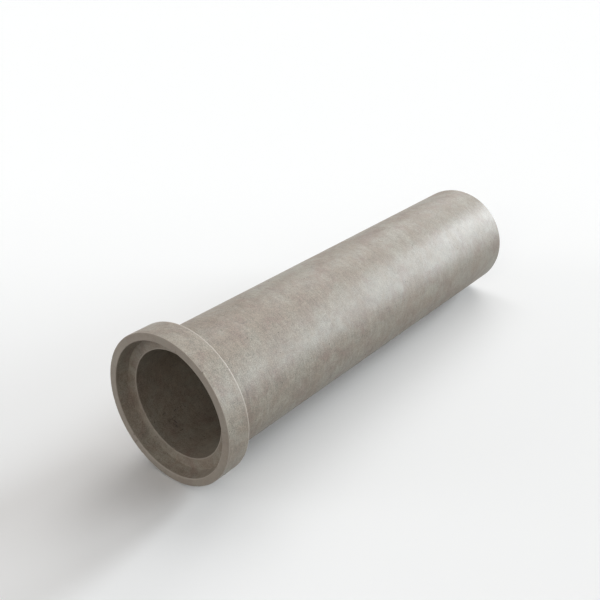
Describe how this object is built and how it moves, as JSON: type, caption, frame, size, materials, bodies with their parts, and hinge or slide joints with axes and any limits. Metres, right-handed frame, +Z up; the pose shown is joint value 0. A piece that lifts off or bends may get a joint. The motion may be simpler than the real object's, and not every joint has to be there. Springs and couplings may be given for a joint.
{
  "type": "concrete culvert pipe",
  "caption": "Long round concrete culvert pipe with a through bore, a wider bell with a stepped socket at one end and a plain spigot at the other, lying on its side.",
  "frame": {"origin": "on the ground, under the middle of the pipe's length", "axes": "+X along the pipe from the bell to the spigot, level with the ground; the pipe's own axis drops 1.45 degrees below +X towards the spigot, as it rests; +Z up"},
  "size_m": [5.0314, 1.44, 1.4455],
  "materials": {
    "concrete": "matt grey-beige cast concrete"
  },
  "bodies": {
    "root": {"pipe": "concrete"}
  },
  "joints": []
}
